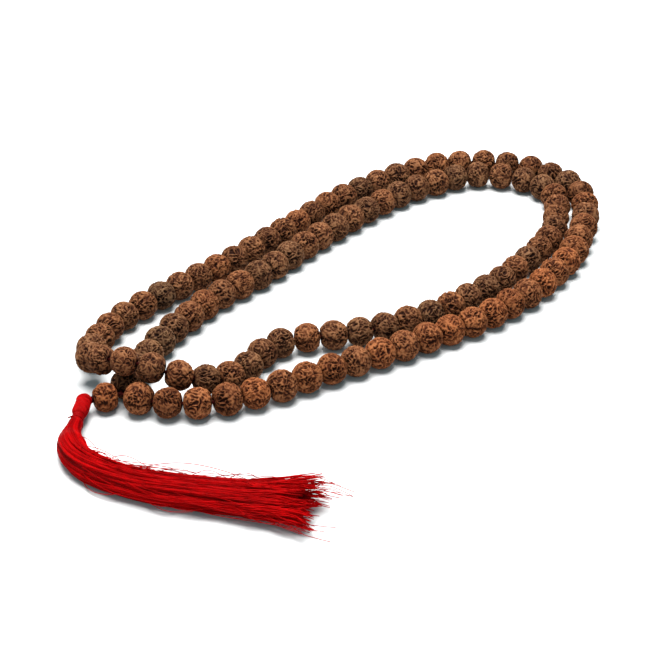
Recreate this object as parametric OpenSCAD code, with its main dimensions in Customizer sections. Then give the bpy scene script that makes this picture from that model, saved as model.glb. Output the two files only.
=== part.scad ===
// Mala: a doubled loop of seed beads on one cord, closed at a guru bead
// and finished with a silk tassel. The cord's middle line lies one bead
// radius above the surface, and rises once where one strand lies on another.

/* [Beads] */
// Nominal bead size, measured along its hole; the whole loop follows it
bead_d = 8; // [6:0.5:10]
// How much wider than that a bead is across its hole, for an 8 mm bead
bead_swell = 0.6; // [0.2:0.1:0.7]
// How far single beads differ from the nominal size, as a fraction
bead_vary = 0.02; // [0:0.005:0.02]
// How much larger the beads on the outer front run are, and how much smaller
// the beads half way round the string, as a fraction
bead_grade = 0.03; // [0:0.005:0.03]
// Diameter of the hole through a bead, for an 8 mm bead
bead_hole_d = 2; // [1.6:0.1:2.4]
// Length of the guru bead along its hole, for an 8 mm bead
guru_d = 7.2; // [6.6:0.1:7.6]
// Diameter of the guru bead's hole, which both ends of the cord share
guru_hole_d = 2.8; // [2.5:0.1:3.2]

/* [Cord] */
// Diameter of the stringing cord
cord_d = 1; // [0.6:0.1:1.1]
// Diameter of the knot that closes the loop
knot_d = 2.8; // [2.4:0.1:3]

/* [Tassel] */
// Outside diameter of the tassel's head
head_d = 4.3; // [4:0.1:4.6]
// Number of turns of thread round the neck
binding_turns = 5; // [3:1:6]
// Diameter of the binding thread
binding_thread_d = 0.6; // [0.4:0.1:0.7]
// Thickness of the skirt where it leaves the binding
skirt_neck_d = 4; // [3.4:0.1:4.4]
// Thickness of the skirt at its middle
skirt_mid_d = 8; // [6:0.5:9]
// Width of the loose end of the skirt
skirt_end_w = 17; // [12:1:20]
// Height of the loose end of the skirt
skirt_end_h = 8; // [6:0.5:9]

/* [Hidden] */
$fn = 48;
k = bead_d / 7.9;        // the layout is drawn for 7.9 mm beads and scales with them
gap = 0.11 * k;          // free cord between neighbouring beads
lead_in = 2.2 * k;       // free cord from the guru bead to the first bead
lead_out = 1.4 * k;      // and from the last bead back to it

// Beads on each straight stretch of cord, in order round the loop: single
// beads where the loop turns tightly, two or three where it runs straight.
groups = [
  1, 1, 1, 2, 3, 3, 3, 3, 3, 3, 2,
  1, 1, 1, 1, 2, 2, 3, 3, 3, 3, 3, 3,
  2, 1, 1, 1, 1, 1, 1, 1, 1, 2, 1, 1, 2,
  3, 3, 3, 2, 3, 1, 1, 1, 1, 1,
  3, 3, 3, 3, 3, 3, 3, 1];

// Guru bead: its middle, and the heading of its hole towards the loop
guru_at = [-86, 24, 4.1];
guru_turn = -30;

// The loop's route, from the guru bead and back to it.
route = [
  [-82.5, 22, 4.8],
  [-81.5, 15.5, 4.6], [-77.5, 8, 4.6], [-69.5, -1, 4.6], [-57.5, -7.5, 4.6],
  [-41.5, -13, 4.6], [-25, -17.5, 4.6], [-9, -23, 4.6], [6, -28.5, 4.6],
  [22.5, -31, 4.6], [39.5, -32, 4.6], [57, -30, 4.6], [74.5, -25.5, 4.6],
  [90.5, -17, 4.6], [102, -9, 4.6], [108.5, 1, 4.6], [110, 11.5, 4.6],
  [109.5, 23, 4.6], [103.5, 34, 4.6], [95.5, 41.5, 4.6], [82, 49, 4.5],
  [68, 52, 4.5], [52, 53, 4.5], [35, 53.5, 4.5], [19, 52, 4.5],
  [3, 50.5, 4.5], [-13, 51.5, 4.4], [-30, 52.5, 4.4], [-46.5, 52.5, 4.4],
  [-57, 51.5, 4.4], [-64.5, 48, 4.8], [-72, 43.5, 6.2], [-79, 37.5, 7.8],
  [-81, 30.5, 11], [-79.5, 24, 13.5], [-76, 17.5, 12], [-70.5, 11, 9],
  [-64, 6.5, 6.2], [-56.5, 4, 4.5], [-48.5, 4.5, 4.4], [-40, 7, 4.4],
  [-32, 6.5, 4.4], [-26, 2.5, 4.4], [-19.5, -3.5, 4.4], [-10, -9.5, 4.4],
  [2.5, -14.5, 4.4], [18.5, -19.5, 4.4], [34.5, -20.5, 4.4], [49.5, -19.5, 4.4],
  [65.5, -17.5, 4.4], [80.5, -13, 4.4], [93.5, -4.5, 4.4], [100.5, 4.5, 4.4],
  [102, 14.5, 4.4], [98.5, 24.5, 4.4], [91, 33.5, 4.4], [75.5, 39, 4.4],
  [59.5, 41.5, 4.5], [42.5, 41.5, 4.5], [26, 41, 4.5], [9.5, 40, 4.5],
  [-7, 38, 4.5], [-24, 39, 4.5], [-40, 38, 4.6], [-52, 34.5, 4.6],
  [-63.5, 31.5, 4.6], [-71, 28, 4.5], [-78, 24, 4.5], [-82.5, 22, 3.8]];

// Where the head's neck points, and the skirt's route along the surface
// from there to its loose end.
tassel_neck = [-101.4, 19.8, 4.1];
skirt_route = [
  [-101.4, 19.8, 0], [-104.9, 17.6, 0], [-108, 14.3, 0], [-110.7, 9.8, 0],
  [-112, 4.5, 0], [-112, -1.5, 0], [-111, -8, 0], [-108.5, -15.5, 0],
  [-105, -22.5, 0], [-101, -30, 0], [-96.5, -38, 0], [-92.5, -45, 0],
  [-89.5, -51, 0], [-88, -54.5, 0]];

// Points of a smooth curve through the route
function reach(a, b) = sqrt(norm(b - a));
function blend3(p0, p1, p2, p3, u) =
  let (t1 = reach(p0, p1), t2 = t1 + reach(p1, p2), t3 = t2 + reach(p2, p3),
       t = t1 + u * (t2 - t1),
       a1 = (t1 - t) / t1 * p0 + t / t1 * p1,
       a2 = (t2 - t) / (t2 - t1) * p1 + (t - t1) / (t2 - t1) * p2,
       a3 = (t3 - t) / (t3 - t2) * p2 + (t - t2) / (t3 - t2) * p3,
       b1 = (t2 - t) / t2 * a1 + t / t2 * a2,
       b2 = (t3 - t) / (t3 - t1) * a2 + (t - t1) / (t3 - t1) * a3)
  (t2 - t) / (t2 - t1) * b1 + (t - t1) / (t2 - t1) * b2;
function smooth(p, n) =
  let (m = len(p) - 1,
       q = concat([2 * p[0] - p[1]], p, [2 * p[m] - p[m - 1]]))
  concat([for (i = [0 : m - 1], j = [0 : n - 1])
            blend3(q[i], q[i + 1], q[i + 2], q[i + 3], j / n)], [p[m]]);

// Running total of a list, with the leading zero
function running(v) =
  [for (s = 0, i = 0; i <= len(v); s = s + (i < len(v) ? v[i] : 0), i = i + 1) s];
function total(v) = len(v) == 0 ? 0 : v * [for (x = v) 1];
function unit(v) = v / norm(v);
function turn_between(a, b) = acos(max(-1, min(1, unit(a) * unit(b))));

line = [for (p = smooth(route, 8)) k * p];
line_s = running([for (i = [0 : len(line) - 2]) norm(line[i + 1] - line[i])]);
line_x = [for (i = [0 : len(line) - 1]) [line_s[i], line[i].x]];
line_y = [for (i = [0 : len(line) - 1]) [line_s[i], line[i].y]];
line_z = [for (i = [0 : len(line) - 1]) [line_s[i], line[i].z]];
line_len = line_s[len(line) - 1];
function at(s) = [lookup(s, line_x), lookup(s, line_y), lookup(s, line_z)];

// Bead sizes: a fixed scatter about the nominal diameter
n_beads = total(groups);
function scatter(i) = let (h = sin(i * 127.1 + 31.7) * 437.585) 2 * (h - floor(h)) - 1;
bead_ds = [for (i = [0 : n_beads - 1]) bead_d * (1 + bead_vary * scatter(i)
  + bead_grade * cos(360 * (i - 12) / n_beads))];
bead_sw = [for (i = [0 : n_beads - 1]) bead_swell * k * (1 + 0.4 * scatter(i + 300))];
first = running(groups);

// Length of cord that each group needs: its beads, and more where the cord
// turns between two groups: round beads meet on the inside of a turn, and the
// straight line across a turn is shorter than the cord's curve.
n_groups = len(groups);
plain_len = [for (g = [0 : n_groups - 1])
  total([for (i = [first[g] : first[g + 1] - 1]) bead_ds[i] + gap])];
strung = line_len - lead_in - lead_out;
function stations(v) = let (s = running(v)) [for (x = s) lead_in + x * strung / total(v)];
rough = [for (s = stations(plain_len)) at(s)];
turns = [for (g = [0 : n_groups]) g == 0 || g == n_groups ? 0 :
  turn_between(rough[g] - rough[g - 1], rough[g + 1] - rough[g])];
extra = [for (a = turns) 0.74 * bead_d * (1 / cos(a / 2) - 1) + bead_swell * k / 2 * tan(a / 2)];
group_len = [for (g = [0 : n_groups - 1]) plain_len[g] + extra[g] + extra[g + 1]];
knots = [for (s = stations(group_len)) at(s)];
stretch = strung / total(group_len);

// Middle of bead i of group g, on the straight line between two bends
function bead_at(g, i) =
  let (a = knots[g], b = knots[g + 1], d = unit(b - a),
       span = norm(b - a), n = groups[g],
       own = [for (j = [first[g] : first[g + 1] - 1]) bead_ds[j] + gap],
       room = span - total(own),
       // spare length goes evenly between the beads; a shortfall comes
       // mostly off the bends at the two ends
       bends = extra[g] + extra[g + 1],
       spare = room - bends,
       share = max(-0.4 * gap, spare / n),
       e0 = extra[g] * (1 + (spare - n * share) / bends),
       along = e0 + total([for (j = [0 : 1 : i - 1]) own[j] + share]) + (own[i] + share) / 2)
  a + along * d;

// Turns the Z axis to a direction
module aim(d) {
  rotate([0, acos(d.z / norm(d)), atan2(d.y, d.x)]) children();
}

// A drilled bead, d long and wider than that by swell
module bead(d, swell, hole) {
  rotate_extrude() intersection() {
    translate([swell / 2, 0]) circle(d = d);
    translate([hole / 2, -d]) square([d, 2 * d]);
  }
}

module bead_group(g) {
  d = knots[g + 1] - knots[g];
  color([0.5, 0.28, 0.17])
    for (i = [0 : groups[g] - 1])
      translate(bead_at(g, i)) aim(d)
        bead(bead_ds[first[g] + i], bead_sw[first[g] + i], bead_hole_d * k);
}

guru_dir = [cos(guru_turn), sin(guru_turn), 0];
module guru_bead() {
  color([0.52, 0.29, 0.16])
    translate(k * guru_at) aim(guru_dir) bead(guru_d * k, 0.5 * k, guru_hole_d * k);
}

// A tube of given radius through points, closed at both ends
module tube(pts, r, sides) {
  n = len(pts);
  dirs = [for (i = [0 : n - 1])
    unit((i > 0 ? unit(pts[i] - pts[i - 1]) : [0, 0, 0])
       + (i < n - 1 ? unit(pts[i + 1] - pts[i]) : [0, 0, 0]))];
  rings = [for (i = [0 : n - 1])
    let (s = unit(cross([0, 0, 1], dirs[i])), u = cross(dirs[i], s),
         bend = i > 0 && i < n - 1
           ? 1 / cos(turn_between(pts[i] - pts[i - 1], pts[i + 1] - pts[i]) / 2) : 1)
    for (j = [0 : sides - 1])
      pts[i] + r * (bend * cos(360 * j / sides) * s + sin(360 * j / sides) * u)];
  polyhedron(rings, concat(
    [[for (j = [0 : sides - 1]) j]],
    [for (i = [0 : n - 2], j = [0 : sides - 1], h = [0, 1])
      let (a = i * sides + j, b = i * sides + (j + 1) % sides)
      h == 0 ? [a, a + sides, b] : [b, a + sides, b + sides]],
    [[for (j = [sides - 1 : -1 : 0]) (n - 1) * sides + j]]));
}

// The closing knot sits outside the guru bead's far mouth
knot_out = 6;
pivot = k * (guru_at - knot_out * guru_dir);
mouth = guru_at + 3.9 * guru_dir;
lay_up = [0, 0, 0.55];
module stringing_cord() {
  color([0.72, 0.05, 0.05])
    tube(concat([pivot + k * lay_up, k * (mouth + lay_up)], knots,
                [k * (mouth - lay_up), pivot - k * lay_up]), cord_d * k / 2, 8);
}

module closing_knot() {
  color([0.75, 0.05, 0.05]) translate(pivot) sphere(d = knot_d * k);
}

// Head: a long round body that starts at the closing knot, and the neck that the binding grips
neck_dir = unit(k * tassel_neck - pivot);
neck_len = norm(k * tassel_neck - pivot);
neck_d = 2.6 * k;
neck_gap = (skirt_neck_d / 2 + 0.3) * k;   // leaves the skirt's dome free to turn
bind_pitch = binding_thread_d * k * 0.86;
head_end = neck_len - neck_gap - 0.1 * k - binding_turns * bind_pitch;
module tassel_head() {
  from = 1.25 * k;
  r = head_d * k / 2;
  color([0.85, 0.06, 0.06]) translate(pivot) aim(neck_dir) difference() {
    rotate_extrude() polygon([[0, from], [r, from], [r, head_end - 1.6 * k], [neck_d / 2, head_end - 0.3 * k],
                              [neck_d / 2, neck_len - neck_gap], [0, neck_len - neck_gap]]);
    sphere(d = (knot_d + 0.7) * k);
  }
}

// Binding: turns of thread side by side on a short sleeve
module tassel_binding() {
  color([0.7, 0.03, 0.04]) translate(pivot) aim(neck_dir)
    translate([0, 0, neck_len - neck_gap - 0.1 * k - binding_turns * bind_pitch]) {
      difference() {
        cylinder(h = binding_turns * bind_pitch, d = neck_d + 0.04 * k + binding_thread_d * k);
        translate([0, 0, -1]) cylinder(h = 10 * k, d = neck_d + 0.04 * k);
      }
      for (i = [0 : binding_turns - 1])
        translate([0, 0, (i + 0.5) * bind_pitch])
          rotate_extrude() translate([neck_d / 2 + binding_thread_d * k * 0.55 + 0.02 * k, 0])
            circle(d = binding_thread_d * k * 0.98);
    }
}

// Skirt: a bundle of threads that swells from the neck and spreads at its end.
// Its top is a dome about the point where it bends.
skirt_pts = [for (p = smooth(skirt_route, 2)) k * p];
skirt_n = len(skirt_pts);
dome = [80, 55, 30];
function ease(x) = let (u = max(0, min(1, x))) u * u * (3 - 2 * u);
function skirt_w(t) = k * (skirt_neck_d + (skirt_mid_d - skirt_neck_d) * ease(t / 0.18)
                     + (skirt_end_w - skirt_mid_d) * pow(max(0, (t - 0.4) / 0.6), 1.8));
function skirt_h(t) = k * (skirt_neck_d + (skirt_mid_d - skirt_neck_d) * ease(t / 0.18)
                     + (skirt_end_h - skirt_mid_d) * ease((t - 0.5) / 0.5));
function skirt_z(t) = let (low = skirt_h(t) / 2)
  max(low, k * guru_at.z * (1 - ease(t / 0.18)) + low * ease(t / 0.18));
module tassel_skirt() {
  sides = 20;
  d0 = unit(skirt_pts[1] - skirt_pts[0]);
  cuts = concat(
    [for (c = dome) [skirt_pts[0] - skirt_neck_d * k / 2 * sin(c) * d0, d0, 0, cos(c)]],
    [for (i = [0 : skirt_n - 1])
      [skirt_pts[i], unit(skirt_pts[min(skirt_n - 1, i + 1)] - skirt_pts[max(0, i - 1)]),
       i / (skirt_n - 1), 1]]);
  m = len(cuts);
  rings = [for (c = cuts, j = [0 : sides - 1])
    let (a = 360 * j / sides)
    [c[0].x, c[0].y, skirt_z(c[2])]
      - c[3] * skirt_w(c[2]) / 2 * cos(a) * [-c[1].y, c[1].x, 0]
      + [0, 0, c[3] * skirt_h(c[2]) / 2 * sin(a)]];
  color([0.78, 0.03, 0.05])
    polyhedron(rings, concat(
      [[for (j = [0 : sides - 1]) j]],
      [for (i = [0 : m - 2], j = [0 : sides - 1], h = [0, 1])
        let (a = i * sides + j, b = i * sides + (j + 1) % sides)
        h == 0 ? [a, a + sides, b] : [b, a + sides, b + sides]],
      [[for (j = [sides - 1 : -1 : 0]) (m - 1) * sides + j]]));
}

function two(n) = str(n < 10 ? "0" : "", n);
function group_name(g) = str("beads_", two(g + 1));

tassel_head();
tassel_binding();
tassel_skirt();
guru_bead();
closing_knot();
stringing_cord();
for (g = [0 : n_groups - 1])
  bead_group(g);
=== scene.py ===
"""The looks of the mala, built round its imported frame: wrinkled seed beads, a twisted cord and a silk tassel."""

import math

import bpy
import numpy as np
from mathutils import Matrix, Vector


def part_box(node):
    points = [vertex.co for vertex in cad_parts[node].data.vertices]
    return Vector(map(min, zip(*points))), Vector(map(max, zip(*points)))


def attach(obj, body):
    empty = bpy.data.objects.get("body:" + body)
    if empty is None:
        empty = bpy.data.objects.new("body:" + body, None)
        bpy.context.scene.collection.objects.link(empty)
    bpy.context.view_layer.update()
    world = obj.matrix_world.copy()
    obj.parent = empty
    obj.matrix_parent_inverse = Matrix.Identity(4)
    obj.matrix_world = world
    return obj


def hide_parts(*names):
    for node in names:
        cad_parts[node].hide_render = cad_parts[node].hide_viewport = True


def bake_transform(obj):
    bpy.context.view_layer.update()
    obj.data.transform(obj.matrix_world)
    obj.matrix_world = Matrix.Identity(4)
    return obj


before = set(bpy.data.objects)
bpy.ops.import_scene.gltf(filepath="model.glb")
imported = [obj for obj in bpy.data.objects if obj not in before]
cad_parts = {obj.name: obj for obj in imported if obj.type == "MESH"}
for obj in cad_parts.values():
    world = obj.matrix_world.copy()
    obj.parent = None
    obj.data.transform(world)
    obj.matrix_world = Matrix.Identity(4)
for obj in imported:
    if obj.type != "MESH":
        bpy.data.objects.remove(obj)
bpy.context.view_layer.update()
MM = 0.001

# ---------------------------------------------------------------- camera

cam_data = bpy.data.cameras.new("camera")
cam_data.sensor_width = 36.0
cam_data.lens = 1900.0 / 655.0 * 36.0
cam_data.clip_start = 0.01
cam_data.clip_end = 20.0
camera = bpy.data.objects.new("camera", cam_data)
bpy.context.scene.collection.objects.link(camera)
camera.location = (-0.39105, -0.31147, 0.28456)
looking = Vector((0.6641, 0.5572, -0.4985)).normalized()
camera.rotation_euler = looking.to_track_quat("-Z", "Y").to_euler()
bpy.context.scene.camera = camera

# ---------------------------------------------------------------- the layout, as in part.scad

BEAD_D, BEAD_SWELL, BEAD_VARY, BEAD_GRADE = 8.0, 0.6, 0.02, 0.03
BEAD_HOLE, GURU_D, GURU_SWELL, GURU_HOLE = 2.0, 7.2, 0.5, 2.8
CORD_D = 1.0
K = BEAD_D / 7.9
GAP, LEAD_IN, LEAD_OUT = 0.11 * K, 2.2 * K, 1.4 * K
GROUPS = [
    1, 1, 1, 2, 3, 3, 3, 3, 3, 3, 2,
    1, 1, 1, 1, 2, 2, 3, 3, 3, 3, 3, 3,
    2, 1, 1, 1, 1, 1, 1, 1, 1, 2, 1, 1, 2,
    3, 3, 3, 2, 3, 1, 1, 1, 1, 1,
    3, 3, 3, 3, 3, 3, 3, 1,
]  # fmt: skip
GURU_AT = np.array([-86, 24, 4.1])
GURU_TURN = math.radians(-30)
ROUTE = [
    [-82.5, 22, 4.8], [-81.5, 15.5, 4.6], [-77.5, 8, 4.6], [-69.5, -1, 4.6],
    [-57.5, -7.5, 4.6], [-41.5, -13, 4.6], [-25, -17.5, 4.6], [-9, -23, 4.6],
    [6, -28.5, 4.6], [22.5, -31, 4.6], [39.5, -32, 4.6], [57, -30, 4.6],
    [74.5, -25.5, 4.6], [90.5, -17, 4.6], [102, -9, 4.6], [108.5, 1, 4.6],
    [110, 11.5, 4.6], [109.5, 23, 4.6], [103.5, 34, 4.6], [95.5, 41.5, 4.6],
    [82, 49, 4.5], [68, 52, 4.5], [52, 53, 4.5], [35, 53.5, 4.5], [19, 52, 4.5],
    [3, 50.5, 4.5], [-13, 51.5, 4.4], [-30, 52.5, 4.4], [-46.5, 52.5, 4.4],
    [-57, 51.5, 4.4], [-64.5, 48, 4.8], [-72, 43.5, 6.2], [-79, 37.5, 7.8],
    [-81, 30.5, 11], [-79.5, 24, 13.5], [-76, 17.5, 12], [-70.5, 11, 9],
    [-64, 6.5, 6.2], [-56.5, 4, 4.5], [-48.5, 4.5, 4.4], [-40, 7, 4.4],
    [-32, 6.5, 4.4], [-26, 2.5, 4.4], [-19.5, -3.5, 4.4], [-10, -9.5, 4.4],
    [2.5, -14.5, 4.4], [18.5, -19.5, 4.4], [34.5, -20.5, 4.4], [49.5, -19.5, 4.4],
    [65.5, -17.5, 4.4], [80.5, -13, 4.4], [93.5, -4.5, 4.4], [100.5, 4.5, 4.4],
    [102, 14.5, 4.4], [98.5, 24.5, 4.4], [91, 33.5, 4.4], [75.5, 39, 4.4],
    [59.5, 41.5, 4.5], [42.5, 41.5, 4.5], [26, 41, 4.5], [9.5, 40, 4.5], [-7, 38, 4.5],
    [-24, 39, 4.5], [-40, 38, 4.6], [-52, 34.5, 4.6], [-63.5, 31.5, 4.6],
    [-71, 28, 4.5], [-78, 24, 4.5], [-82.5, 22, 3.8],
]  # fmt: skip
TASSEL_NECK = np.array([-101.4, 19.8, 4.1])
SKIRT_ROUTE = [
    [-101.4, 19.8, 0], [-104.9, 17.6, 0], [-108, 14.3, 0], [-110.7, 9.8, 0],
    [-112, 4.5, 0], [-112, -1.5, 0], [-111, -8, 0], [-108.5, -15.5, 0],
    [-105, -22.5, 0], [-101, -30, 0], [-96.5, -38, 0], [-92.5, -45, 0],
    [-89.5, -51, 0], [-88, -54.5, 0],
]  # fmt: skip
NECK_D, MID_D, END_W, END_H = 4.0, 8.0, 17.0, 8.0


def blend3(p0, p1, p2, p3, u):
    t1 = math.sqrt(np.linalg.norm(p1 - p0))
    t2 = t1 + math.sqrt(np.linalg.norm(p2 - p1))
    t3 = t2 + math.sqrt(np.linalg.norm(p3 - p2))
    t = t1 + u * (t2 - t1)
    a1 = (t1 - t) / t1 * p0 + t / t1 * p1
    a2 = (t2 - t) / (t2 - t1) * p1 + (t - t1) / (t2 - t1) * p2
    a3 = (t3 - t) / (t3 - t2) * p2 + (t - t2) / (t3 - t2) * p3
    b1 = (t2 - t) / t2 * a1 + t / t2 * a2
    b2 = (t3 - t) / (t3 - t1) * a2 + (t - t1) / (t3 - t1) * a3
    return (t2 - t) / (t2 - t1) * b1 + (t - t1) / (t2 - t1) * b2


def smooth(points, n):
    p = np.array(points, float)
    q = np.vstack([2 * p[0] - p[1], p, 2 * p[-1] - p[-2]])
    out = [
        blend3(q[i], q[i + 1], q[i + 2], q[i + 3], j / n)
        for i in range(len(p) - 1)
        for j in range(n)
    ]
    return np.array(out + [p[-1]])


def unit(v):
    v = np.asarray(v, float)
    return v / np.linalg.norm(v, axis=-1, keepdims=True)


def running(v):
    return np.concatenate([[0.0], np.cumsum(v)])


def scatter(i):
    h = math.sin(math.radians(i * 127.1 + 31.7)) * 437.585
    return 2 * (h - math.floor(h)) - 1


line = K * smooth(ROUTE, 8)
line_s = running(np.linalg.norm(np.diff(line, axis=0), axis=1))
line_len = line_s[-1]


def at(s):
    return np.array([np.interp(s, line_s, line[:, a]) for a in range(3)])


n_beads = sum(GROUPS)
bead_ds = [
    BEAD_D
    * (1 + BEAD_VARY * scatter(i) + BEAD_GRADE * math.cos(2 * math.pi * (i - 12) / n_beads))
    for i in range(n_beads)
]
bead_sw = [BEAD_SWELL * K * (1 + 0.4 * scatter(i + 300)) for i in range(n_beads)]
first = [int(x) for x in running(GROUPS)]
n_groups = len(GROUPS)
plain_len = [
    sum(bead_ds[i] + GAP for i in range(first[g], first[g + 1]))
    for g in range(n_groups)
]
strung = line_len - LEAD_IN - LEAD_OUT


def stations(v):
    return LEAD_IN + running(v) * strung / sum(v)


rough = [at(s) for s in stations(plain_len)]
turns = [0.0] * (n_groups + 1)
for g in range(1, n_groups):
    c = float(unit(rough[g] - rough[g - 1]) @ unit(rough[g + 1] - rough[g]))
    turns[g] = math.acos(max(-1, min(1, c)))
extra = [
    0.74 * BEAD_D * (1 / math.cos(a / 2) - 1) + BEAD_SWELL * K / 2 * math.tan(a / 2)
    for a in turns
]
group_len = [plain_len[g] + extra[g] + extra[g + 1] for g in range(n_groups)]
knots = [at(s) for s in stations(group_len)]

# every bead: body, middle, direction of its hole, length, swell, hole
beads = []
for g in range(n_groups):
    a, b = knots[g], knots[g + 1]
    d = unit(b - a)
    own = [bead_ds[j] + GAP for j in range(first[g], first[g + 1])]
    bends = extra[g] + extra[g + 1]
    spare = np.linalg.norm(b - a) - sum(own) - bends
    share = max(-0.4 * GAP, spare / GROUPS[g])
    e0 = extra[g] * (1 + (spare - GROUPS[g] * share) / bends)
    for i in range(GROUPS[g]):
        along = e0 + sum(w + share for w in own[:i]) + (own[i] + share) / 2
        j = first[g] + i
        beads.append(
            (f"beads_{g + 1:02d}", a + along * d, d, bead_ds[j], bead_sw[j], BEAD_HOLE * K)
        )
guru_dir = np.array([math.cos(GURU_TURN), math.sin(GURU_TURN), 0.0])
beads.append(
    ("guru_bead", K * GURU_AT, guru_dir, GURU_D * K, GURU_SWELL * K, GURU_HOLE * K)
)
for body in sorted({b[0] for b in beads}):
    low, high = (np.array(c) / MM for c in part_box(body))
    mine = [b for b in beads if b[0] == body]
    for axis in range(3):
        reach = [
            (
                b[1][axis],
                b[3] / 2 + b[4] / 2 * math.sqrt(max(0.0, 1 - b[2][axis] ** 2)),
            )
            for b in mine
        ]
        if (
            abs(min(c - r for c, r in reach) - low[axis]) > 0.12
            or abs(max(c + r for c, r in reach) - high[axis]) > 0.12
        ):
            raise SystemExit(f"the layout here and the packed {body} differ")

# ---------------------------------------------------------------- helpers


def mesh_object(name, verts, quads=None, tris=None, attributes=None, uv=None):
    """A smooth-shaded mesh object from arrays, in millimetres, with float attributes on its points."""
    me = bpy.data.meshes.new(name)
    verts = np.asarray(verts, np.float64) * MM
    faces, starts, at_loop = [], [], 0
    for block in (quads, tris):
        if block is not None and len(block):
            block = np.asarray(block, np.int32)
            faces.append(block.ravel())
            starts.append(at_loop + np.arange(len(block)) * block.shape[1])
            at_loop += block.size
    loops = np.concatenate(faces)
    starts = np.concatenate(starts)
    me.vertices.add(len(verts))
    me.vertices.foreach_set("co", verts.astype(np.float32).ravel())
    me.loops.add(len(loops))
    me.loops.foreach_set("vertex_index", loops.astype(np.int32))
    me.polygons.add(len(starts))
    me.polygons.foreach_set("loop_start", starts.astype(np.int32))
    me.polygons.foreach_set("use_smooth", np.ones(len(starts), bool))
    me.update(calc_edges=True)
    for key, values in (attributes or {}).items():
        att = me.attributes.new(key, "FLOAT", "POINT")
        att.data.foreach_set("value", np.asarray(values, np.float32))
    if uv is not None:
        layer = me.uv_layers.new(name="strand")
        layer.data.foreach_set("uv", np.asarray(uv, np.float32)[loops].ravel())
    me.validate()
    ob = bpy.data.objects.new(name, me)
    bpy.context.scene.collection.objects.link(ob)
    return ob


def waves(rng, n, size, spread=0.15):
    """n random plane waves with lengths near size, as wave vectors and phases."""
    k = unit(rng.normal(size=(n, 3)))
    k *= (2 * np.pi / (size * rng.uniform(1 - spread, 1 + spread, (n, 1))))
    return k, rng.uniform(0, 2 * np.pi, n)


def field(p, w):
    k, phase = w
    return np.cos(p @ k.T + phase).sum(1) * math.sqrt(2 / len(phase))


def ease(x):
    x = np.clip(x, 0, 1)
    return x * x * (3 - 2 * x)


def frames_along(points, up=(0.0, 0.0, 1.0)):
    """Tangents and two normals at each point of a polyline, turning as little as possible."""
    p = np.asarray(points, float)
    t = np.gradient(p, axis=0)
    t = unit(t)
    n = np.zeros_like(p)
    start = np.cross(t[0], np.asarray(up, float))
    if np.linalg.norm(start) < 1e-6:
        start = np.cross(t[0], [1.0, 0.0, 0.0])
    n[0] = unit(start)
    for i in range(1, len(p)):
        v = n[i - 1] - (n[i - 1] @ t[i]) * t[i]
        n[i] = v / np.linalg.norm(v)
    return t, n, np.cross(t, n)


def tube_arrays(points, radius, sides, base=0, closed=False, profile=None, cap=True):
    """Vertices and faces of a tube. radius is one number or one for each point; profile(i, angle) scales it."""
    p = np.asarray(points, float)
    _, n, b = frames_along(p)
    m = len(p)
    r = np.broadcast_to(np.asarray(radius, float), (m,))
    ang = np.linspace(0, 2 * np.pi, sides, endpoint=False)
    scale = np.ones((m, sides)) if profile is None else profile(np.arange(m)[:, None], ang[None, :])
    ring = (
        p[:, None, :]
        + (r[:, None] * scale * np.cos(ang))[:, :, None] * n[:, None, :]
        + (r[:, None] * scale * np.sin(ang))[:, :, None] * b[:, None, :]
    )
    verts = ring.reshape(-1, 3)
    last = m if closed else m - 1
    i = np.arange(last)[:, None]
    j = np.arange(sides)[None, :]
    i2, j2 = (i + 1) % m, (j + 1) % sides
    quads = np.stack(
        [i * sides + j, i * sides + j2, i2 * sides + j2, i2 * sides + j], axis=2
    ).reshape(-1, 4)
    tris = np.zeros((0, 3), int)
    if cap and not closed:
        verts = np.vstack([verts, p[0], p[-1]])
        a, z = m * sides, m * sides + 1
        jj = np.arange(sides)
        k2 = (jj + 1) % sides
        tris = np.vstack(
            [
                np.stack([np.full(sides, a), k2, jj], 1),
                np.stack(
                    [np.full(sides, z), (m - 1) * sides + jj, (m - 1) * sides + k2], 1
                ),
            ]
        )
    return verts, quads + base, tris + base


# ---------------------------------------------------------------- materials


def new_material(name):
    mat = bpy.data.materials.new(name)
    mat.use_nodes = True
    nt = mat.node_tree
    return mat, nt, nt.nodes["Principled BSDF"]


def node(nt, kind, **values):
    n = nt.nodes.new(kind)
    for key, v in values.items():
        setattr(n, key, v)
    return n


def ramp(nt, source, stops):
    n = node(nt, "ShaderNodeValToRGB")
    el = n.color_ramp.elements
    while len(el) < len(stops):
        el.new(0.5)
    for e, (pos, col) in zip(el, stops):
        e.position = pos
        e.color = (*col, 1)
    nt.links.new(source, n.inputs["Fac"])
    return n.outputs["Color"]


def mix(nt, kind, factor, a, b):
    n = node(nt, "ShaderNodeMix", data_type="RGBA", blend_type=kind)
    n.clamp_factor = True
    for socket, v in ((n.inputs["Factor"], factor), (n.inputs["A"], a), (n.inputs["B"], b)):
        if isinstance(v, bpy.types.NodeSocket):
            nt.links.new(v, socket)
        elif isinstance(v, (int, float)):
            socket.default_value = v
        else:
            socket.default_value = (*v, 1)
    return n.outputs["Result"]


def map_range(nt, source, a, b, c, d):
    n = node(nt, "ShaderNodeMapRange")
    nt.links.new(source, n.inputs["Value"])
    for key, v in (("From Min", a), ("From Max", b), ("To Min", c), ("To Max", d)):
        n.inputs[key].default_value = v
    return n.outputs["Result"]


def noise(nt, where, scale, detail=2.0, rough=0.5, distortion=0.0):
    n = node(nt, "ShaderNodeTexNoise")
    n.inputs["Scale"].default_value = scale
    n.inputs["Detail"].default_value = detail
    n.inputs["Roughness"].default_value = rough
    n.inputs["Distortion"].default_value = distortion
    nt.links.new(where, n.inputs["Vector"])
    return n.outputs["Fac"]


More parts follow.
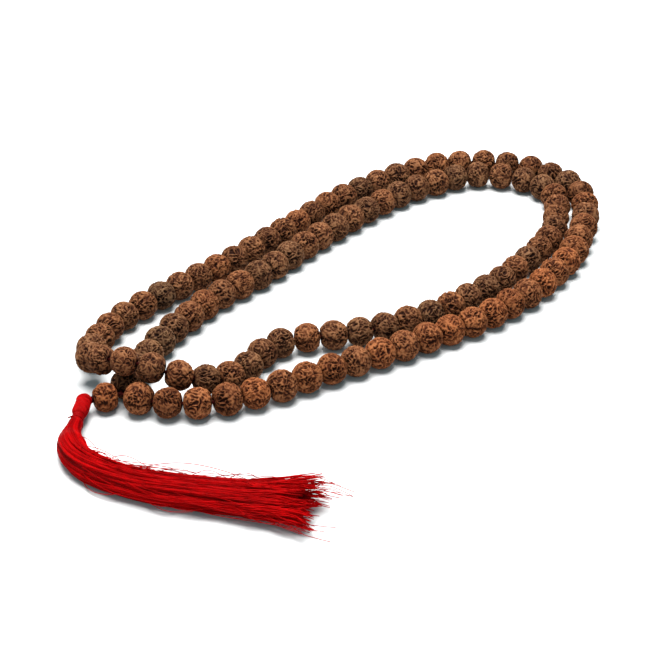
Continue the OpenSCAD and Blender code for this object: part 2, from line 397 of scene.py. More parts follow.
def seed_material():
    mat, nt, bsdf = new_material("rudraksha_seed")
    where = node(nt, "ShaderNodeTexCoord").outputs["Object"]
    crevice_shade = node(nt, "ShaderNodeAttribute", attribute_name="crevice_shade").outputs["Fac"]
    tone = node(nt, "ShaderNodeAttribute", attribute_name="tone").outputs["Fac"]
    olive = node(nt, "ShaderNodeAttribute", attribute_name="olive").outputs["Fac"]
    fine = noise(nt, where, 1400, 3.0, 0.6)
    broad = noise(nt, where, 320, 2.0, 0.5)
    # wrinkles: how far in a point lies decides its colour, from the seed's own brown on the ridges to painted shade in
    # the crevices
    base = ramp(
        nt,
        crevice_shade,
        [
            (0.0, (0.34, 0.122, 0.044)),
            (0.22, (0.235, 0.076, 0.027)),
            (0.55, (0.118, 0.033, 0.012)),
            (1.0, (0.030, 0.009, 0.005)),
        ],
    )
    mottled = mix(
        nt, "MULTIPLY", 0.75, base, ramp(nt, broad, [(0.30, (0.66, 0.60, 0.58)), (0.70, (1.12, 1.06, 1.02))])
    )
    specked = mix(
        nt, "MULTIPLY", 0.6, mottled, ramp(nt, fine, [(0.32, (0.55, 0.52, 0.5)), (0.62, (1.1, 1.08, 1.06))])
    )
    greener = mix(nt, "MULTIPLY", olive, specked, (0.50, 0.80, 1.15))
    shade = ramp(nt, tone, [(0.0, (0.62, 0.60, 0.60)), (0.5, (1.0, 1.0, 1.0)), (1.0, (1.28, 1.22, 1.15))])
    final = mix(nt, "MULTIPLY", 1.0, greener, shade)
    nt.links.new(final, bsdf.inputs["Base Color"])
    rough = map_range(nt, crevice_shade, 0.0, 0.8, 0.56, 0.9)
    nt.links.new(rough, bsdf.inputs["Roughness"])
    bsdf.inputs["Specular IOR Level"].default_value = 0.05
    bump = node(nt, "ShaderNodeBump")
    bump.inputs["Strength"].default_value = 0.55
    bump.inputs["Distance"].default_value = 0.00009
    pits = noise(nt, where, 4200, 3.0, 0.6)
    nt.links.new(pits, bump.inputs["Height"])
    nt.links.new(bump.outputs["Normal"], bsdf.inputs["Normal"])
    return mat


def silk_material(name, bright, dark, twist=0.0):
    """Fine red thread: a tone for each strand, painted shade where it lies inside the bundle, and fibres that run along
    it or wind round it.
    """
    mat, nt, bsdf = new_material(name)
    tone = node(nt, "ShaderNodeAttribute", attribute_name="tone").outputs["Fac"]
    inner_shade = node(nt, "ShaderNodeAttribute", attribute_name="inner_shade").outputs["Fac"]
    uv = node(nt, "ShaderNodeUVMap", uv_map="strand").outputs["UV"]
    where = node(nt, "ShaderNodeTexCoord").outputs["Object"]
    base = ramp(nt, tone, [(0.0, dark), (1.0, bright)])
    # painted shade: threads inside the bundle, in the hollows between locks and in the grooves of the head are
    # multiplied darker
    with_inner_shade = mix(nt, "MULTIPLY", inner_shade, base, (0.30, 0.22, 0.24))
    along = noise(nt, where, 450, 3.0, 0.55)
    streaked = mix(
        nt, "MULTIPLY", 0.5, with_inner_shade, ramp(nt, along, [(0.32, (0.62, 0.5, 0.5)), (0.66, (1.1, 1.15, 1.15))])
    )
    nt.links.new(streaked, bsdf.inputs["Base Color"])
    wave = node(nt, "ShaderNodeTexWave", wave_type="BANDS", bands_direction="DIAGONAL" if twist else "Y")
    wave.inputs["Scale"].default_value = 1.0
    wave.inputs["Distortion"].default_value = 0.6
    wave.inputs["Detail"].default_value = 1.0
    nt.links.new(uv, wave.inputs["Vector"])
    rough = map_range(nt, along, 0.3, 0.7, 0.45, 0.62)
    nt.links.new(rough, bsdf.inputs["Roughness"])
    bump = node(nt, "ShaderNodeBump")
    bump.inputs["Strength"].default_value = 0.5
    bump.inputs["Distance"].default_value = 0.00003
    nt.links.new(wave.outputs["Fac"], bump.inputs["Height"])
    nt.links.new(bump.outputs["Normal"], bsdf.inputs["Normal"])
    bsdf.inputs["Specular IOR Level"].default_value = 0.02
    bsdf.inputs["Sheen Weight"].default_value = 0.0
    bsdf.inputs["Sheen Roughness"].default_value = 0.4
    bsdf.inputs["Sheen Tint"].default_value = (1.0, 0.1, 0.08, 1.0)
    return mat


SEED = seed_material()
SILK = silk_material("tassel_silk", (0.47, 0.0012, 0.0018), (0.17, 0.0004, 0.0010))
HEAD_SILK = silk_material("head_silk", (0.33, 0.0018, 0.0024), (0.11, 0.0006, 0.0010))
CORD = silk_material("stringing_thread", (0.040, 0.004, 0.0035), (0.020, 0.002, 0.002), 1.0)
WRAP = silk_material("binding_thread", (0.28, 0.0012, 0.0020), (0.13, 0.0004, 0.0010), 1.0)

# ---------------------------------------------------------------- cord

pivot = K * (GURU_AT - 6 * guru_dir)
mouth = GURU_AT + 3.9 * guru_dir
lay_up = np.array([0, 0, 0.55])
corners = np.array(
    [pivot + K * lay_up, K * (mouth + lay_up)]
    + list(knots)
    + [K * (mouth - lay_up), pivot - K * lay_up]
)


def evenly(points, step):
    p = np.asarray(points, float)
    s = running(np.linalg.norm(np.diff(p, axis=0), axis=1))
    n = max(2, int(round(s[-1] / step)) + 1)
    want = np.linspace(0, s[-1], n)
    return np.stack([np.interp(want, s, p[:, a]) for a in range(3)], 1)


def relaxed(points, passes):
    """Rounds the corners of an evenly spaced line, with its ends held."""
    p = points.copy()
    for _ in range(passes):
        p[1:-1] = 0.25 * p[:-2] + 0.5 * p[1:-1] + 0.25 * p[2:]
    return p


cord_line = relaxed(evenly(corners, 0.35), 26)
step = np.linalg.norm(np.diff(cord_line, axis=0), axis=1)
along = running(step)
PLY = 3.4


def ply(i, ang):
    """Three plies wound round each other."""
    turn = 2 * np.pi * along[i.astype(int)] / PLY
    return 0.86 + 0.14 * np.abs(np.cos(1.5 * (ang - turn)))


cv, cq, ct = tube_arrays(cord_line, CORD_D * K / 2, 12, profile=ply)
cord_uv = np.zeros((len(cv), 2))
cord_uv[: len(cord_line) * 12, 0] = np.repeat(along / 1.2, 12)
cord_uv[: len(cord_line) * 12, 1] = np.tile(np.arange(12) / 12 * 3, len(cord_line))
cord = mesh_object(
    "stringing_cord_thread",
    cv,
    cq,
    ct,
    {"tone": np.full(len(cv), 0.5), "inner_shade": np.zeros(len(cv))},
    cord_uv,
)
cord.data.materials.append(CORD)
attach(cord, "cord")
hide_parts("stringing_cord")

# ---------------------------------------------------------------- beads

NU, NV, NB = ((150, 76, 5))


def grid_faces(rows, cols, base):
    i = np.arange(rows)[:, None]
    j = np.arange(cols)[None, :]
    i2, j2 = (i + 1) % rows, (j + 1) % cols
    return (
        np.stack([i * cols + j, i * cols + j2, i2 * cols + j2, i2 * cols + j], axis=2).reshape(-1, 4)
        + base
    )


def seed_bead(number, length, swell, hole, bend, room):
    """A drilled, wrinkled seed: its own hole runs along Z. Gives vertices, and the painted shade of each one, dark in
    its pits, nicks and cell lines, round the mouths of its hole and inside it.
    """
    rng = np.random.default_rng(7000 + number)
    r, major, bore = length / 2, swell / 2, 0.4 * hole
    top = math.acos((bore - major) / r)
    phi = np.linspace(-top, top, NV)
    ang = np.linspace(0, 2 * np.pi, NU, endpoint=False)
    ph, an = np.meshgrid(phi, ang, indexing="ij")
    ph, an = ph.ravel(), an.ravel()
    rho = major + r * np.cos(ph)
    p = np.stack([rho * np.cos(an), rho * np.sin(an), r * np.sin(ph)], 1)
    normal = np.stack([np.cos(ph) * np.cos(an), np.cos(ph) * np.sin(an), np.sin(ph)], 1)
    # where a point is, pushed about a little so that no wrinkle runs true
    warp = np.stack([field(p, waves(rng, 12, 3.2)) for _ in range(3)], 1)
    q = p + 0.26 * warp
    size = rng.uniform(1.65, 2.15)
    # two nets of ridges laid over each other, with pits between them
    net = np.abs(np.stack([field(q, waves(rng, 32, size, 0.14)), field(q, waves(rng, 32, size * 0.86, 0.14))]))
    low = net.min(0)
    small = field(p + 0.10 * warp, waves(rng, 40, 1.0, 0.2))
    fine = field(p, waves(rng, 40, 0.8, 0.15))
    patch = field(p, waves(rng, 12, 5.0))
    body = field(p, waves(rng, 10, 9.0, 0.3))
    pit = np.clip((low - 0.10) / 0.62, 0, 1.25)
    pit = pit * pit * (3 - 1.6 * pit) * np.clip(0.85 + 0.25 * patch, 0.4, 1.25)
    nick = np.clip(-small - 0.25, 0, 1.6)
    # the seed's cells meet in lines from hole to hole
    sides = int(rng.choice([4, 5, 5, 5, 6]))
    start = rng.uniform(0, 2 * np.pi)
    cells = start + np.arange(sides) * 2 * np.pi / sides + rng.uniform(-0.16, 0.16, sides)
    wander = 0.13 * field(p, waves(rng, 10, 3.6))
    off = np.abs((an[:, None] + wander[:, None] - cells[None] + np.pi) % (2 * np.pi) - np.pi).min(1) * rho
    groove = np.exp(-((off / 0.26) ** 2))
    rise = (
        0.27
        - 0.36 * pit
        - 0.13 * nick
        + 0.03 * fine
        - 0.26 * groove
        + 0.09 * np.clip(body, -1.8, 1.0)
        + 0.16 * np.exp(-(((rho - 2.3) / 0.8) ** 2))
    )
    # it stays clear of its neighbours however they are turned
    meets = major + r * math.sin(bend / 2) + 0.1
    limit = 0.012 + np.clip(0.85 * np.clip(rho - meets, 0, 9) ** 2 / (2 * r), 0, 0.26 + 0.08 * np.exp(-(((rho - 2.4) / 0.5) ** 2)))
    near = ease(np.clip((rho - bore) / 1.1, 0, 1))
    rise = np.minimum(rise, limit) * (0.3 + 0.7 * near) - 0.05 * (1 - near)
    rise = np.where(rise > 0, rise * min(1.0, room / 0.34), rise)
    p = p + normal * rise[:, None]
    # painted shade: pits, nicks and cell lines, and the mouths of the hole, are coloured darker where shade falls
    crevice_shade = np.clip(0.62 * pit + 0.30 * nick + 0.50 * groove - 0.05 * fine, 0, 1)
    crevice_shade = np.maximum(crevice_shade, 0.95 * (1 - near) ** 1.5)
    # the bore, from one mouth to the other, in painted shade
    z = np.linspace(p[-NU:, 2].mean(), p[:NU, 2].mean(), NB + 2)[1:-1]
    bz, ba = np.meshgrid(z, ang, indexing="ij")
    inner = np.stack([bore * np.cos(ba.ravel()), bore * np.sin(ba.ravel()), bz.ravel()], 1)
    return np.vstack([p, inner]), np.concatenate([crevice_shade, np.full(len(inner), 0.9)])


def turned(verts, axis, spin):
    """Puts a bead made along Z on its own axis, turned about it by spin."""
    axis = unit(axis)
    side = unit(np.cross([0, 0, 1.0], axis)) if abs(axis[2]) < 0.999 else np.array([1.0, 0, 0])
    up = np.cross(axis, side)
    c, s = math.cos(spin), math.sin(spin)
    e1, e2 = c * side + s * up, -s * side + c * up
    return verts @ np.stack([e1, e2, axis])


bead_bend = []
for g in range(n_groups):
    for i in range(GROUPS[g]):
        bead_bend.append(max(turns[g] if i == 0 else 0.0, turns[g + 1] if i == GROUPS[g] - 1 else 0.0))
bead_bend[0] = max(bead_bend[0], math.radians(32))
bead_bend[-1] = max(bead_bend[-1], math.radians(32))
bead_bend.append(math.radians(28))

# how far a bead's ridges may stand out where a bead of another strand lies beside it
around = np.linspace(0, 2 * np.pi, 48, endpoint=False)


def middle_ring(bead):
    side = unit(np.cross([0, 0, 1.0], bead[2]))
    up = np.cross(bead[2], side)
    return bead[1] + bead[4] / 2 * (np.cos(around)[:, None] * side + np.sin(around)[:, None] * up)


rings = [middle_ring(b) for b in beads]
bead_room = [0.34] * len(beads)
for i in range(len(beads)):
    for j in range(i + 2, len(beads)):
        if (i == 0 and j == len(beads) - 1) or np.linalg.norm(beads[i][1] - beads[j][1]) > 11:
            continue
        apart = np.linalg.norm(rings[i][:, None] - rings[j][None], axis=2).min()
        apart = apart - (beads[i][3] + beads[j][3]) / 2
        for n in (i, j):
            bead_room[n] = min(bead_room[n], max(0.05, apart / 2 - 0.01))
by_body = {}
for number, bead in enumerate(beads):
    by_body.setdefault(bead[0], []).append((number, bead))
for body, members in by_body.items():
    V, Q, crevice_shade_parts, tone, olive, base = [], [], [], [], [], 0
    for number, (_, middle, axis, length, swell, hole) in members:
        rng = np.random.default_rng(100 + number)
        v, c = seed_bead(number, length, swell, hole, bead_bend[number], bead_room[number])
        v = turned(v, axis, rng.uniform(0, 2 * np.pi)) + middle
        v[:, 2] = np.maximum(v[:, 2], 0.02)
        V.append(v)
        Q.append(grid_faces(NV + NB, NU, base))
        base += len(v)
        crevice_shade_parts.append(c)
        tone.append(np.full(len(v), np.clip(rng.normal(0.5, 0.15), 0, 1)))
        front = 0.20 if body == "guru_bead" else 0.20 + 0.46 * float(ease((number - 12) / 20.0))
        olive.append(np.full(len(v), np.clip(rng.normal(front, 0.13), 0, 1)))
    name = "guru_seed" if body == "guru_bead" else "seeds_" + body[-2:]
    ob = mesh_object(
        name,
        np.vstack(V),
        np.vstack(Q),
        None,
        {"crevice_shade": np.concatenate(crevice_shade_parts), "tone": np.concatenate(tone), "olive": np.concatenate(olive)},
    )
    ob.data.materials.append(SEED)
    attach(ob, body)
    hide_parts(body)

# ---------------------------------------------------------------- closing knot, inside the head

t = np.linspace(0, 2 * np.pi, 90, endpoint=False)
trefoil = np.stack([np.sin(t) + 2 * np.sin(2 * t), np.cos(t) - 2 * np.cos(2 * t), -1.2 * np.sin(3 * t)], 1)
trefoil = trefoil * (0.9 * K / 3.0) + pivot
kv, kq, _ = tube_arrays(trefoil, 0.42 * K, 10, closed=True)
kn = mesh_object(
    "closing_knot_thread", kv, kq, None,
    {"tone": np.full(len(kv), 0.5), "inner_shade": np.zeros(len(kv))},
    np.stack([np.repeat(np.arange(90) / 6, 10), np.tile(np.arange(10) / 10 * 3, 90)], 1),
)
kn.data.materials.append(CORD)
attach(kn, "cord")
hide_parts("closing_knot")

# ---------------------------------------------------------------- tassel head and neck

neck_at = K * TASSEL_NECK
neck_dir = unit(neck_at - pivot)
neck_len = float(np.linalg.norm(neck_at - pivot))
neck_side = unit(np.cross([0, 0, 1.0], neck_dir))
neck_up = np.cross(neck_dir, neck_side)
neck_gap = (NECK_D / 2 + 0.3) * K
PITCH = 0.6 * K * 0.86
wrap_to = neck_len - neck_gap - 0.1 * K
wrap_from = wrap_to - 5 * PITCH


def about_neck(s, radius, angle):
    return (
        pivot
        + np.multiply.outer(s, neck_dir)
        + np.multiply.outer(radius * np.cos(angle), neck_side)
        + np.multiply.outer(radius * np.sin(angle), neck_up)
    )


# the head is a skein folded over the knot: strands run from its crown down to the neck
rng = np.random.default_rng(41)
HR = 2.26
rows, cols = 110, 320
strands = 46
s_list = np.concatenate(
    [HR * -np.cos(np.linspace(0.03, 2.30, 70)), np.linspace(HR * -math.cos(2.30), neck_len - 1.3, 81)[1:]]
)
# a ball at the crown, then a body that narrows to the waist under the binding
ball = np.array([math.sqrt(max(0.0, HR**2 - s**2)) if abs(s) < HR else 0.0 for s in s_list])
held = ease((s_list - wrap_from + 0.55) / 0.5) * ease((wrap_to + 0.35 - s_list) / 0.4)
hour = (
    2.16
    + 0.10 * ease((s_list - 0.6) / 2.2)
    - 0.46 * ease((s_list - (wrap_from - 2.6)) / 2.6)
    - 0.46 * held
    + 0.14 * ease((s_list - wrap_to) / 1.2)
)
u = ease((s_list - 0.2) / 1.2)
r_list = np.where(s_list < 0.2, ball, ball * (1 - u) + hour * u)
ang = np.linspace(0, 2 * np.pi, cols, endpoint=False)
S, A = np.meshgrid(s_list, ang, indexing="ij")
R = np.broadcast_to(r_list[:, None], S.shape)
sway = 0.25 * np.sin(1.3 * S + 2.0) + 0.16 * np.sin(2.9 * S + A * 2 + 0.6)
rib = np.abs(np.sin(strands / 2 * (A + sway * 0.55) + 0.8 * np.sin(3 * A)))
rib2 = np.abs(np.sin(strands * 0.93 * (A + sway * 0.5) + 2.0 * np.sin(2 * A + 1.0)))
fade = np.clip(R / 1.2, 0, 1)
R = R - fade * (0.16 * (1 - rib) ** 1.5 + 0.05 * (1 - rib2)) + 0.05 * fade * np.sin(3 * A + S)
hv = about_neck(S.ravel(), R.ravel(), A.ravel())
hq = grid_faces(len(s_list), cols, 0)
hq = hq[: (len(s_list) - 1) * cols]
hv = np.vstack([hv, about_neck(np.array([s_list[0] - 0.001]), np.zeros(1), np.zeros(1)), about_neck(np.array([s_list[-1]]), np.zeros(1), np.zeros(1))])
j = np.arange(cols)
crown = np.stack([np.full(cols, len(hv) - 2), (j + 1) % cols, j], 1)
foot = np.stack([np.full(cols, len(hv) - 1), (len(s_list) - 1) * cols + j, (len(s_list) - 1) * cols + (j + 1) % cols], 1)
# painted light and shade on the head: the crests of its strands lighter, the grooves between them darker
rib_shading = np.concatenate([(0.55 + 0.45 * rib - 0.1 * (1 - rib2)).ravel(), [0.5, 0.5]])
groove_shade = np.concatenate([(0.75 * (1 - rib) ** 3 * np.clip(R / 1.2, 0, 1)).ravel(), [0, 0]])
huv = np.vstack([np.stack([S.ravel(), A.ravel() * 4], 1), np.zeros((2, 2))])
head = mesh_object("tassel_head_skein", hv, hq, np.vstack([crown, foot]), {"tone": np.clip(rib_shading, 0, 1), "inner_shade": groove_shade}, huv)
head.data.materials.append(HEAD_SILK)
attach(head, "tassel_top")
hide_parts("tassel_head")

# ---------------------------------------------------------------- binding: turns of thread round the neck, and its tail

rng = np.random.default_rng(5)
n_turn = 5
tt = np.linspace(0, 1, 56 * n_turn)
turn_angle = 2 * np.pi * n_turn * tt
wind = about_neck(
    wrap_from + PITCH * 0.5 + (n_turn - 1) * PITCH * tt + 0.05 * np.sin(turn_angle * 0.37),
    np.full(len(tt), 1.50) + 0.04 * np.sin(turn_angle * 0.61 + 1.0) - 0.22 * (np.clip((0.04 - tt) / 0.04, 0, 1)),
    turn_angle + 1.9,
)
# the tail leaves the last turn and stands out to one side, a little crooked
end_dir = unit(wind[-1] - wind[-2])
out = unit(wind[-1] - (pivot + neck_dir * float((wind[-1] - pivot) @ neck_dir)))
tail = []
here = wind[-1].copy()
d = end_dir.copy()
for i in range(15):
    f = i / 14
    want = unit(0.55 * out + 0.55 * end_dir + np.array([-0.15, -0.1, -0.25 - 0.5 * f]))
    d = unit(d + 0.16 * (want - d) + 0.05 * rng.normal(size=3))
    here = here + d * 0.13
    tail.append(here.copy())
wind = np.vstack([wind, np.array(tail)])
wind[:, 2] = np.maximum(wind[:, 2], 0.35)
wind = relaxed(wind, 2)
ws = running(np.linalg.norm(np.diff(wind, axis=0), axis=1))
wr = 0.6 * K / 2 * 0.98 * np.clip(1 - 0.45 * np.clip((ws - ws[-16]) / (ws[-1] - ws[-16]), 0, 1), 0.3, 1)


def wrap_ply(i, ang):
    turn = 2 * np.pi * ws[i.astype(int)] / 1.9
    return 0.86 + 0.14 * np.abs(np.cos(ang - turn))


wv, wq, wt = tube_arrays(wind, wr, 12, profile=wrap_ply)
wuv = np.zeros((len(wv), 2))
wuv[: len(wind) * 12, 0] = np.repeat(ws / 0.8, 12)
wuv[: len(wind) * 12, 1] = np.tile(np.arange(12) / 12 * 3, len(wind))
wrap = mesh_object(
    "tassel_binding_thread", wv, wq, wt, {"tone": np.full(len(wv), 0.55), "inner_shade": np.zeros(len(wv))}, wuv
)
wrap.data.materials.append(WRAP)
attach(wrap, "tassel_top")
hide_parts("tassel_binding")

# ---------------------------------------------------------------- skirt


def skirt_w(t):
    return K * (NECK_D + (MID_D - NECK_D) * ease(t / 0.18) + (END_W - MID_D) * np.maximum(0, (t - 0.4) / 0.6) ** 1.8)


def skirt_h(t):
    return K * (NECK_D + (MID_D - NECK_D) * ease(t / 0.18) + (END_H - MID_D) * ease((t - 0.5) / 0.5))


def skirt_z(t):
    low = skirt_h(t) / 2
    return np.maximum(low, K * GURU_AT[2] * (1 - ease(t / 0.18)) + low * ease(t / 0.18))


centre = K * smooth(SKIRT_ROUTE, 14)
centre_t = np.linspace(0, 1, len(centre))
tangent = unit(np.gradient(centre, axis=0))
d0 = tangent[0]
tip_dir = tangent[-1]


def skirt_point(t, a, b):
    """A point of the skirt: t along it, a across it, b up it. t may be a little under 0 or over 1."""
    tc = np.clip(t, 0, 1)
    c = np.stack([np.interp(tc, centre_t, centre[:, i]) for i in range(3)], -1)
    d = unit(np.stack([np.interp(tc, centre_t, tangent[:, i]) for i in range(3)], -1))
    over = np.maximum(t - 1, 0)[..., None] * 96.0
    under = np.minimum(t, 0)[..., None] * 96.0
    c = c + over * tip_dir + under * d0
    side = np.stack([-d[..., 1], d[..., 0], np.zeros_like(d[..., 0])], -1)
    w, h, z = skirt_w(tc), skirt_h(tc), skirt_z(tc)
    c = c - (a * w / 2)[..., None] * side
    c[..., 2] = z + b * h / 2
    return c


rng = np.random.default_rng(2026)
LOCKS = [(3, 1.3, 0.5), (5, -2.1, 0.6), (8, 2.6, 0.55), (13, -3.8, 0.45), (21, 5.0, 0.30)]
lock_phase = rng.uniform(0, 2 * np.pi, len(LOCKS))


def lock(ang, t):
    """How far the bundle stands out (1) or sinks in (-1) at an angle round it, t along it."""
    out, slope = 0.0, 0.0
    for (n, w, amp), ph in zip(LOCKS, lock_phase):
        bend = w * t + 0.8 * np.sin(2.3 * t * n * 0.5 + ph)
        out = out + amp * np.cos(n * ang + bend + ph)
        slope = slope - amp * n * np.sin(n * ang + bend + ph)
    return out / 1.3, slope / 1.3


def in_bundle(ang, rad, t):
    """Across and up, for a point at an angle and radius of the bundle, with its locks and its slow twist."""
    high, _ = lock(ang, t)
    grown = ease((t - 0.04) / 0.25)
    rad = rad * (1 - 0.075 * grown * (1 - np.clip(high, -1, 1)))
    turn = ang + 0.9 * t
    ca, sa = np.cos(turn), np.sin(turn)
    # its lower half spreads where it rests
    wide = np.where(sa < 0, (np.abs(ca) ** 3.2 + np.abs(sa) ** 3.2) ** (-1 / 3.2), 1.0)
    rad = rad * (1 + (wide - 1) * ease((t - 0.12) / 0.2))
    return rad * ca, rad * sa, np.clip(0.5 + 0.5 * high, 0, 1)


n_threads = 900
segs = 84
sides = 5
# near its loose end the bundle parts into tufts, each with its own length and direction
TUFTS = 52
tuft_ang = np.sort(rng.uniform(0, 2 * np.pi, TUFTS))
tuft_end = rng.normal(0.912, 0.038, TUFTS)
tuft_a = rng.normal(0, 0.15, TUFTS)
tuft_b = rng.normal(0.04, 0.18, TUFTS) + np.where(np.sin(tuft_ang) > 0.5, rng.uniform(0, 0.75, TUFTS), 0)
threads = []
for i in range(n_threads):
    outer = i % 10 < 7
    ang0 = rng.uniform(0, 2 * np.pi)
    rad0 = rng.uniform(0.90, 0.985) if outer else math.sqrt(rng.uniform(0.05, 0.80))
    # a tuft's threads end nearly together, a few reach past them
    off = (tuft_ang - ang0 + np.pi) % (2 * np.pi) - np.pi
    tuft = int(np.argmin(np.abs(off + rng.normal(0, 0.10))))
    end = min(1.02, tuft_end[tuft] + rng.normal(0, 0.026) + (rng.uniform(0.01, 0.07) if rng.uniform() < 0.09 else 0))
    t = np.linspace(-0.012, end, segs)
    _, slope = lock(ang0, t)
    loose = ease((t - 0.2) / 0.8)
    ph = rng.uniform(0, 2 * np.pi, 6)
    ang = (
        ang0
        + 0.011 * slope * ease((t - 0.05) / 0.3)
        + loose * (0.19 * np.sin(2.6 * t * np.pi + ph[0]) + 0.08 * np.sin(6.5 * t * np.pi + ph[1]) + 0.024 * np.sin(17 * t * np.pi + ph[2]))
    )
    rad = rad0 * (1 + loose * (0.03 * np.sin(5 * t * np.pi + ph[3]) + 0.016 * np.sin(13 * t * np.pi + ph[4])))
    a, b, high = in_bundle(ang, np.minimum(rad, 1.0), t)
    # the loose end frays
    fray = ease((t - 0.72) / 0.28)
    a = a * (1 + 0.16 * fray) + fray * (tuft_a[tuft] + 0.05 * rng.normal())
    b = b * (1 - 0.10 * fray) + fray * (tuft_b[tuft] + 0.05 * rng.normal())
    gather = 0.75 * ease((t - 0.78) / 0.18) * (1 if rng.uniform() < 0.75 else 0.2)
    ta, tb, _ = in_bundle(tuft_ang[tuft], np.full(len(t), 0.72), t)
    ta = ta * (1 + 0.16 * fray) + fray * tuft_a[tuft]
    tb = tb * (1 - 0.10 * fray) + fray * tuft_b[tuft]
    a, b = a + gather * 0.6 * (ta - a), b + gather * 0.6 * (tb - b)
    b = np.maximum(b, -0.95)
    bright = 0.50 + 0.16 * rng.normal()
    # a random tone for each thread, with painted light and shade: lighter where its lock stands out, darker where the
    # lock sinks in; it is also darker near the neck and lighter towards the loose end
    tone_and_shade_here = np.clip(bright + 0.42 * (high - 0.5) + 0.10 * np.sin(3.3 * t * np.pi + ph[5]) - 0.34 * (1 - ease(t / 0.24)) + 0.22 * ease((t - 0.70) / 0.25), 0, 1)
    # painted shade: darker where a lock sinks in and for the threads inside the bundle, less where the loose end frays
    shade_here = np.clip(0.75 * (0.45 - high) + (0 if outer else 0.25), 0, 1) * (1 - 0.6 * fray)
    threads.append((t, a, b, rng.uniform(0.115, 0.165), tone_and_shade_here, shade_here))

pieces = 5
share = (len(threads) + pieces - 1) // pieces
for part in range(pieces):
    V, Q, T, tone, inner_shade, UV, base = [], [], [], [], [], [], 0
    for t, a, b, r, tone_and_shade_here, shade_here in threads[part::pieces]:
        pts = skirt_point(t, a, b)
        pts[:, 2] = np.maximum(pts[:, 2], r + 0.02)
        rad = np.full(len(t), r)
        rad[-3:] *= (0.9, 0.7, 0.4)
        v, q, tr = tube_arrays(pts, rad, sides, base=base)
        V.append(v)
        Q.append(q)
        T.append(tr)
        base += len(v)
        for values, here in ((tone, tone_and_shade_here), (inner_shade, shade_here)):
            values.append(np.concatenate([np.repeat(here, sides), [here[0], here[-1]]]))
        uv = np.zeros((len(v), 2))
        uv[: len(t) * sides, 0] = np.repeat(t * 40, sides)
        uv[: len(t) * sides, 1] = np.tile(np.arange(sides) / sides * 2, len(t))
        UV.append(uv)
    ob = mesh_object(
        f"skirt_threads_{part + 1}",
        np.vstack(V),
        np.vstack(Q),
        np.vstack(T),
        {"tone": np.concatenate(tone), "inner_shade": np.concatenate(inner_shade)},
        np.vstack(UV),
    )
    ob.data.materials.append(SILK)
    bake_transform(ob)

# the threads inside, which close the gaps between those that show
CS = 240
ct_ = np.linspace(-0.006, 0.93, 110)
ring = np.linspace(0, 2 * np.pi, CS, endpoint=False)
CT, CA = np.meshgrid(ct_, ring, indexing="ij")
taper = np.clip((0.96 - CT) / 0.22, 0.12, 1) ** 0.8
ca, cb, chigh = in_bundle(CA, (0.90 + 0.012 * np.sin(61 * CA + 9 * np.sin(3 * CT))) * taper, CT)
core = skirt_point(CT, ca, cb)
core[..., 2] = np.maximum(core[..., 2], 0.06)
cvv = core.reshape(-1, 3)
cqq = grid_faces(len(ct_), CS, 0)[: (len(ct_) - 1) * CS]
cvv = np.vstack([cvv, cvv[:CS].mean(0), cvv[-CS:].mean(0)])
j = np.arange(CS)
caps = np.vstack(
    [
        np.stack([np.full(CS, len(cvv) - 2), (j + 1) % CS, j], 1),
        np.stack([np.full(CS, len(cvv) - 1), (len(ct_) - 1) * CS + j, (len(ct_) - 1) * CS + (j + 1) % CS], 1),
    ]
)
cuv = np.vstack([np.stack([CT.ravel() * 40, CA.ravel() * 20], 1), np.zeros((2, 2))])
# painted shade: the inner threads are dark, and darker still where the locks sink in
core_ob = mesh_object("skirt_inner_threads", cvv, cqq, caps, {"tone": np.append(0.15 + 0.35 * chigh.ravel(), [0.2, 0.2]), "inner_shade": np.append(np.clip(0.55 - 0.5 * chigh.ravel(), 0, 1), [0.5, 0.5])}, cuv)
core_ob.data.materials.append(SILK)
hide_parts("tassel_skirt")
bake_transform(core_ob)

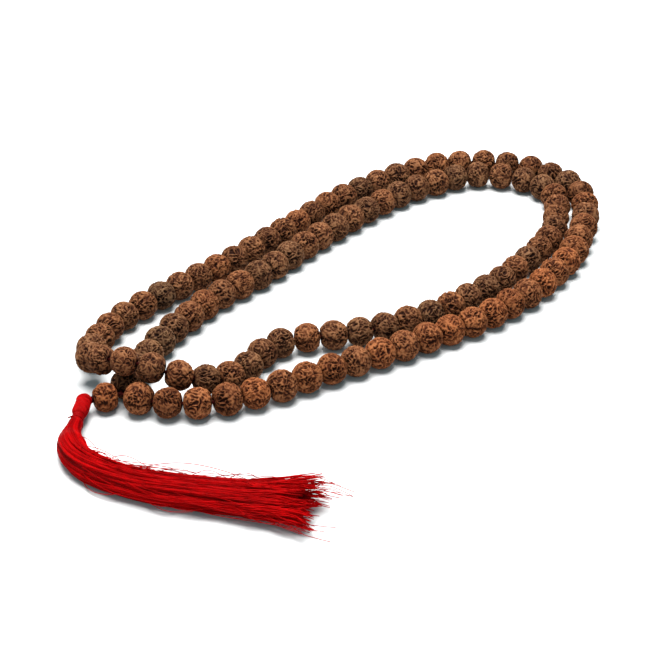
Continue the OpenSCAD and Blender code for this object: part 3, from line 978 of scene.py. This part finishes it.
# stray threads that have come away from the bundle
rng = np.random.default_rng(99)
V, Q, T, tone, inner_shade, UV, base = [], [], [], [], [], [], 0
for i in range(112):
    n = 40
    u = np.linspace(0, 1, n)
    if i % 2:  # along the floor on either side
        t0 = rng.uniform(0.25, 0.86)
        side_ = 1 if i % 4 == 1 else -1
        bow = rng.uniform(0.12, 0.65) * np.sin(np.pi * np.clip(u * rng.uniform(0.55, 1.0), 0, 1)) ** 1.2
        t1 = min(1.07, t0 + rng.uniform(0.12, 0.40))
        a = side_ * (rng.uniform(0.7, 0.9) + bow) + 0.05 * np.sin(9 * u + rng.uniform(0, 6))
        b = rng.uniform(-0.6, 0.6) * np.cos(np.pi * 0.4 * u) - 0.4 * bow
    elif i % 8 < 6:  # standing off the top of the bundle
        t0 = rng.uniform(0.15, 0.85)
        t1 = min(1.05, t0 + rng.uniform(0.06, 0.26))
        bow = rng.uniform(0.08, 0.75) * np.sin(np.pi * u * rng.uniform(0.6, 1.0)) ** 1.1
        a = rng.uniform(-0.75, 0.35) + 0.10 * np.sin(4 * u + rng.uniform(0, 6))
        b = 0.9 * np.sqrt(np.clip(1 - a * a, 0.1, 1)) + bow
    else:  # fanning out past the loose end
        t0 = rng.uniform(0.78, 0.90)
        t1 = rng.uniform(0.95, 1.05)
        way = rng.uniform(-1, 1)
        a = 0.8 * way + u**1.4 * (0.75 * way + 0.15 * rng.normal()) + 0.03 * np.sin(11 * u + rng.uniform(0, 6))
        b = rng.uniform(-0.3, 0.8) * (1 - 0.4 * u)
    if i == 2:  # one long thread that arches clear of the bundle
        t0, t1 = 0.50, 0.80
        a = -0.35 + 0.25 * u
        b = 0.85 + 1.1 * np.sin(np.pi * u) ** 0.8
    t = np.linspace(t0, t1, n)
    pts = skirt_point(t, a, b)
    r = rng.uniform(0.075, 0.12)
    pts[:, 2] = np.maximum(pts[:, 2], r + 0.02)
    v, q, tr = tube_arrays(pts, r, 4, base=base)
    V.append(v), Q.append(q), T.append(tr)
    base += len(v)
    tone.append(np.full(len(v), rng.uniform(0.2, 0.8)))
    inner_shade.append(np.zeros(len(v)))
    uv = np.zeros((len(v), 2))
    uv[: n * 4, 0] = np.repeat(t * 40, 4)
    UV.append(uv)
fly = mesh_object("skirt_stray_threads", np.vstack(V), np.vstack(Q), np.vstack(T), {"tone": np.concatenate(tone), "inner_shade": np.concatenate(inner_shade)}, np.vstack(UV))
fly.data.materials.append(SILK)
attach(fly, "tassel_skirt")

# ---------------------------------------------------------------- floor and light

floor_mesh = bpy.data.meshes.new("floor")
floor_mesh.from_pydata([(-3, -3, 0), (3, -3, 0), (3, 3, 0), (-3, 3, 0)], [], [(0, 1, 2, 3)])
floor = bpy.data.objects.new("floor", floor_mesh)
bpy.context.scene.collection.objects.link(floor)
floor.location.z = -0.00001
fmat, fnt, fb = new_material("floor_white")
fb.inputs["Base Color"].default_value = (0.62, 0.625, 0.63, 1)
fb.inputs["Roughness"].default_value = 0.7
fb.inputs["Specular IOR Level"].default_value = 0.0
floor_mesh.materials.append(fmat)

world = bpy.data.worlds.new("world")
bpy.context.scene.world = world
world.use_nodes = True
world.node_tree.nodes["Background"].inputs["Color"].default_value = (0.42, 0.88, 1.0, 1)
world.node_tree.nodes["Background"].inputs["Strength"].default_value = 0.24


def area(name, where, target, size, power, colour=(1, 1, 1)):
    data = bpy.data.lights.new(name, "AREA")
    data.shape = "DISK"
    data.size = size
    data.energy = power
    data.color = colour
    ob = bpy.data.objects.new(name, data)
    bpy.context.scene.collection.objects.link(ob)
    ob.location = where
    ob.rotation_euler = (Vector(target) - Vector(where)).to_track_quat("-Z", "Y").to_euler()
    return ob


area("softbox_top", (0.02, 0.12, 1.1), (0, 0, 0), 0.90, 35.0, (1.0, 0.985, 0.965))
area("softbox_back", (0.75, 0.85, 0.85), (0, 0, 0), 0.6, 4.0, (1.0, 0.985, 0.965))
area("fill_front", (-0.9, -0.5, 0.7), (0, 0, 0), 0.9, 2.5)

scene = bpy.context.scene
scene.view_settings.view_transform = "Standard"
scene.view_settings.look = "None"
scene.view_settings.exposure = 0.0
scene.view_settings.gamma = 1.0
